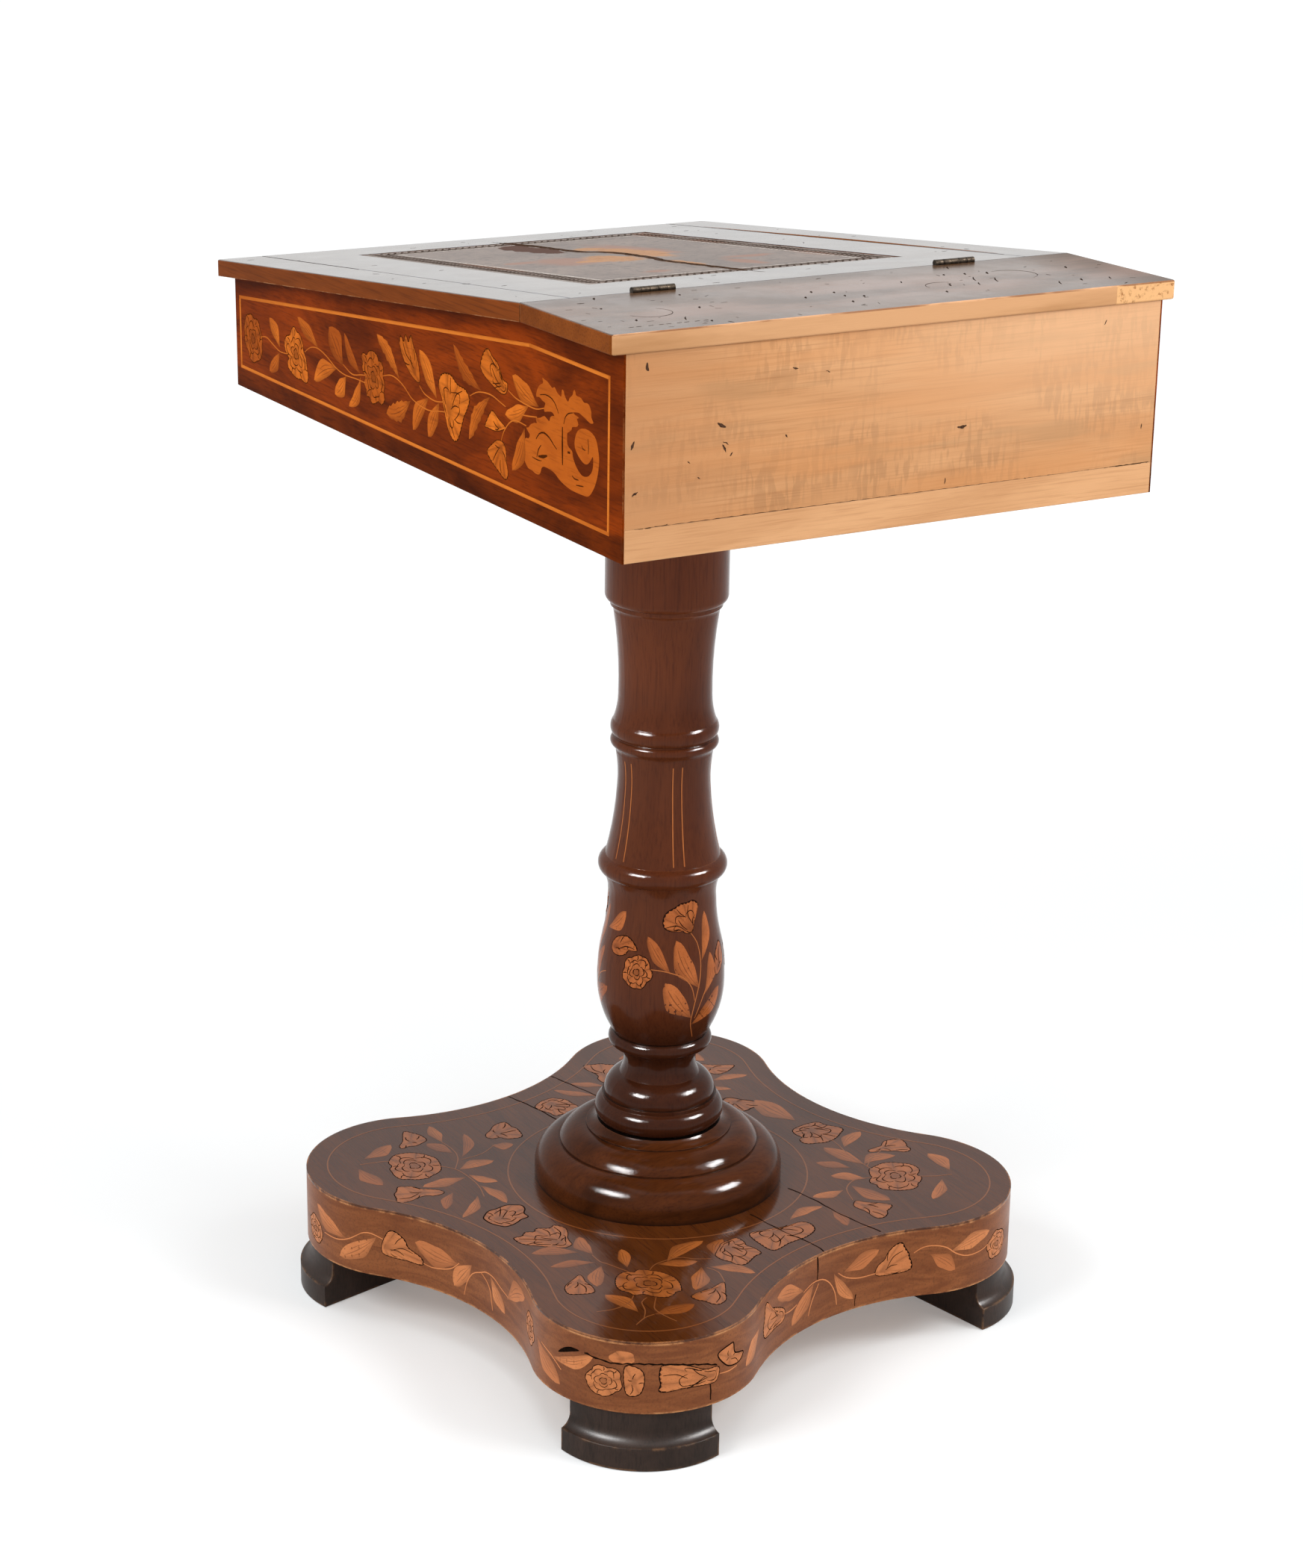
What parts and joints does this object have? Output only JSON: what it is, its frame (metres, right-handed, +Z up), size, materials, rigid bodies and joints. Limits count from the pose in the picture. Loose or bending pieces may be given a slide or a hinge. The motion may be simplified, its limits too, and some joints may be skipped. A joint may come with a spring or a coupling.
{
  "type": "pedestal writing box",
  "caption": "Shallow sloping writing case with a hinged leather-lined lid on a turned column, lobed platform and block feet.",
  "frame": {"origin": "on the floor, under the middle of the top, 10 mm in front of the column's axis", "axes": "+Z up, -Y towards the sitter and the low edge of the lid, +Y towards the high back, +X to the sitter's right"},
  "size_m": [0.4676, 0.574, 0.7827],
  "materials": {
    "dark_mahogany": "gloss",
    "red_mahogany": "satin",
    "pale_wood": "satin",
    "walnut_veneer": "satin",
    "ebonised_wood": "satin",
    "leather": "worn",
    "hinge_brass": "aged",
    "steel": "aged"
  },
  "bodies": {
    "table": {"foot_back_right": "ebonised_wood", "foot_back_left": "ebonised_wood", "foot_front_left": "ebonised_wood", "foot_front_right": "ebonised_wood", "foot_screws": "steel", "platform_board_left": "pale_wood", "platform_board_middle": "pale_wood", "platform_board_right": "pale_wood", "platform_edge_veneer": "walnut_veneer", "platform_top_veneer": "walnut_veneer", "pedestal_disc": "dark_mahogany", "column_shaft": "dark_mahogany", "column_cap": "dark_mahogany", "bottom_tenon_wedge": "pale_wood", "top_tenon_wedge": "pale_wood", "case_bottom": "pale_wood", "case_back": "pale_wood", "case_front": "pale_wood", "case_side_left": "pale_wood", "case_side_right": "pale_wood", "column_cleat": "pale_wood", "cleat_screws": "steel", "side_veneer_left": "red_mahogany", "side_veneer_right": "red_mahogany", "front_veneer": "red_mahogany", "rear_strip": "red_mahogany", "hinge_strip_leaf_left": "hinge_brass", "hinge_strip_leaf_right": "hinge_brass", "hinge_pin_left": "hinge_brass", "hinge_pin_right": "hinge_brass", "hinge_strip_screws": "steel"},
    "lid": {"lid_board_left": "red_mahogany", "lid_board_right": "red_mahogany", "lid_edge_left": "red_mahogany", "lid_edge_right": "red_mahogany", "lid_leather": "leather", "hinge_lid_leaf_left": "hinge_brass", "hinge_lid_leaf_right": "hinge_brass", "hinge_lid_screws": "steel"}
  },
  "joints": [
    {"name": "lid_hinge", "type": "hinge", "parent": "table", "child": "lid", "pos_m": [0, 0.1755, 0.7805], "axis": [-1, 0, 0], "range_deg": [0, 180]}
  ]
}
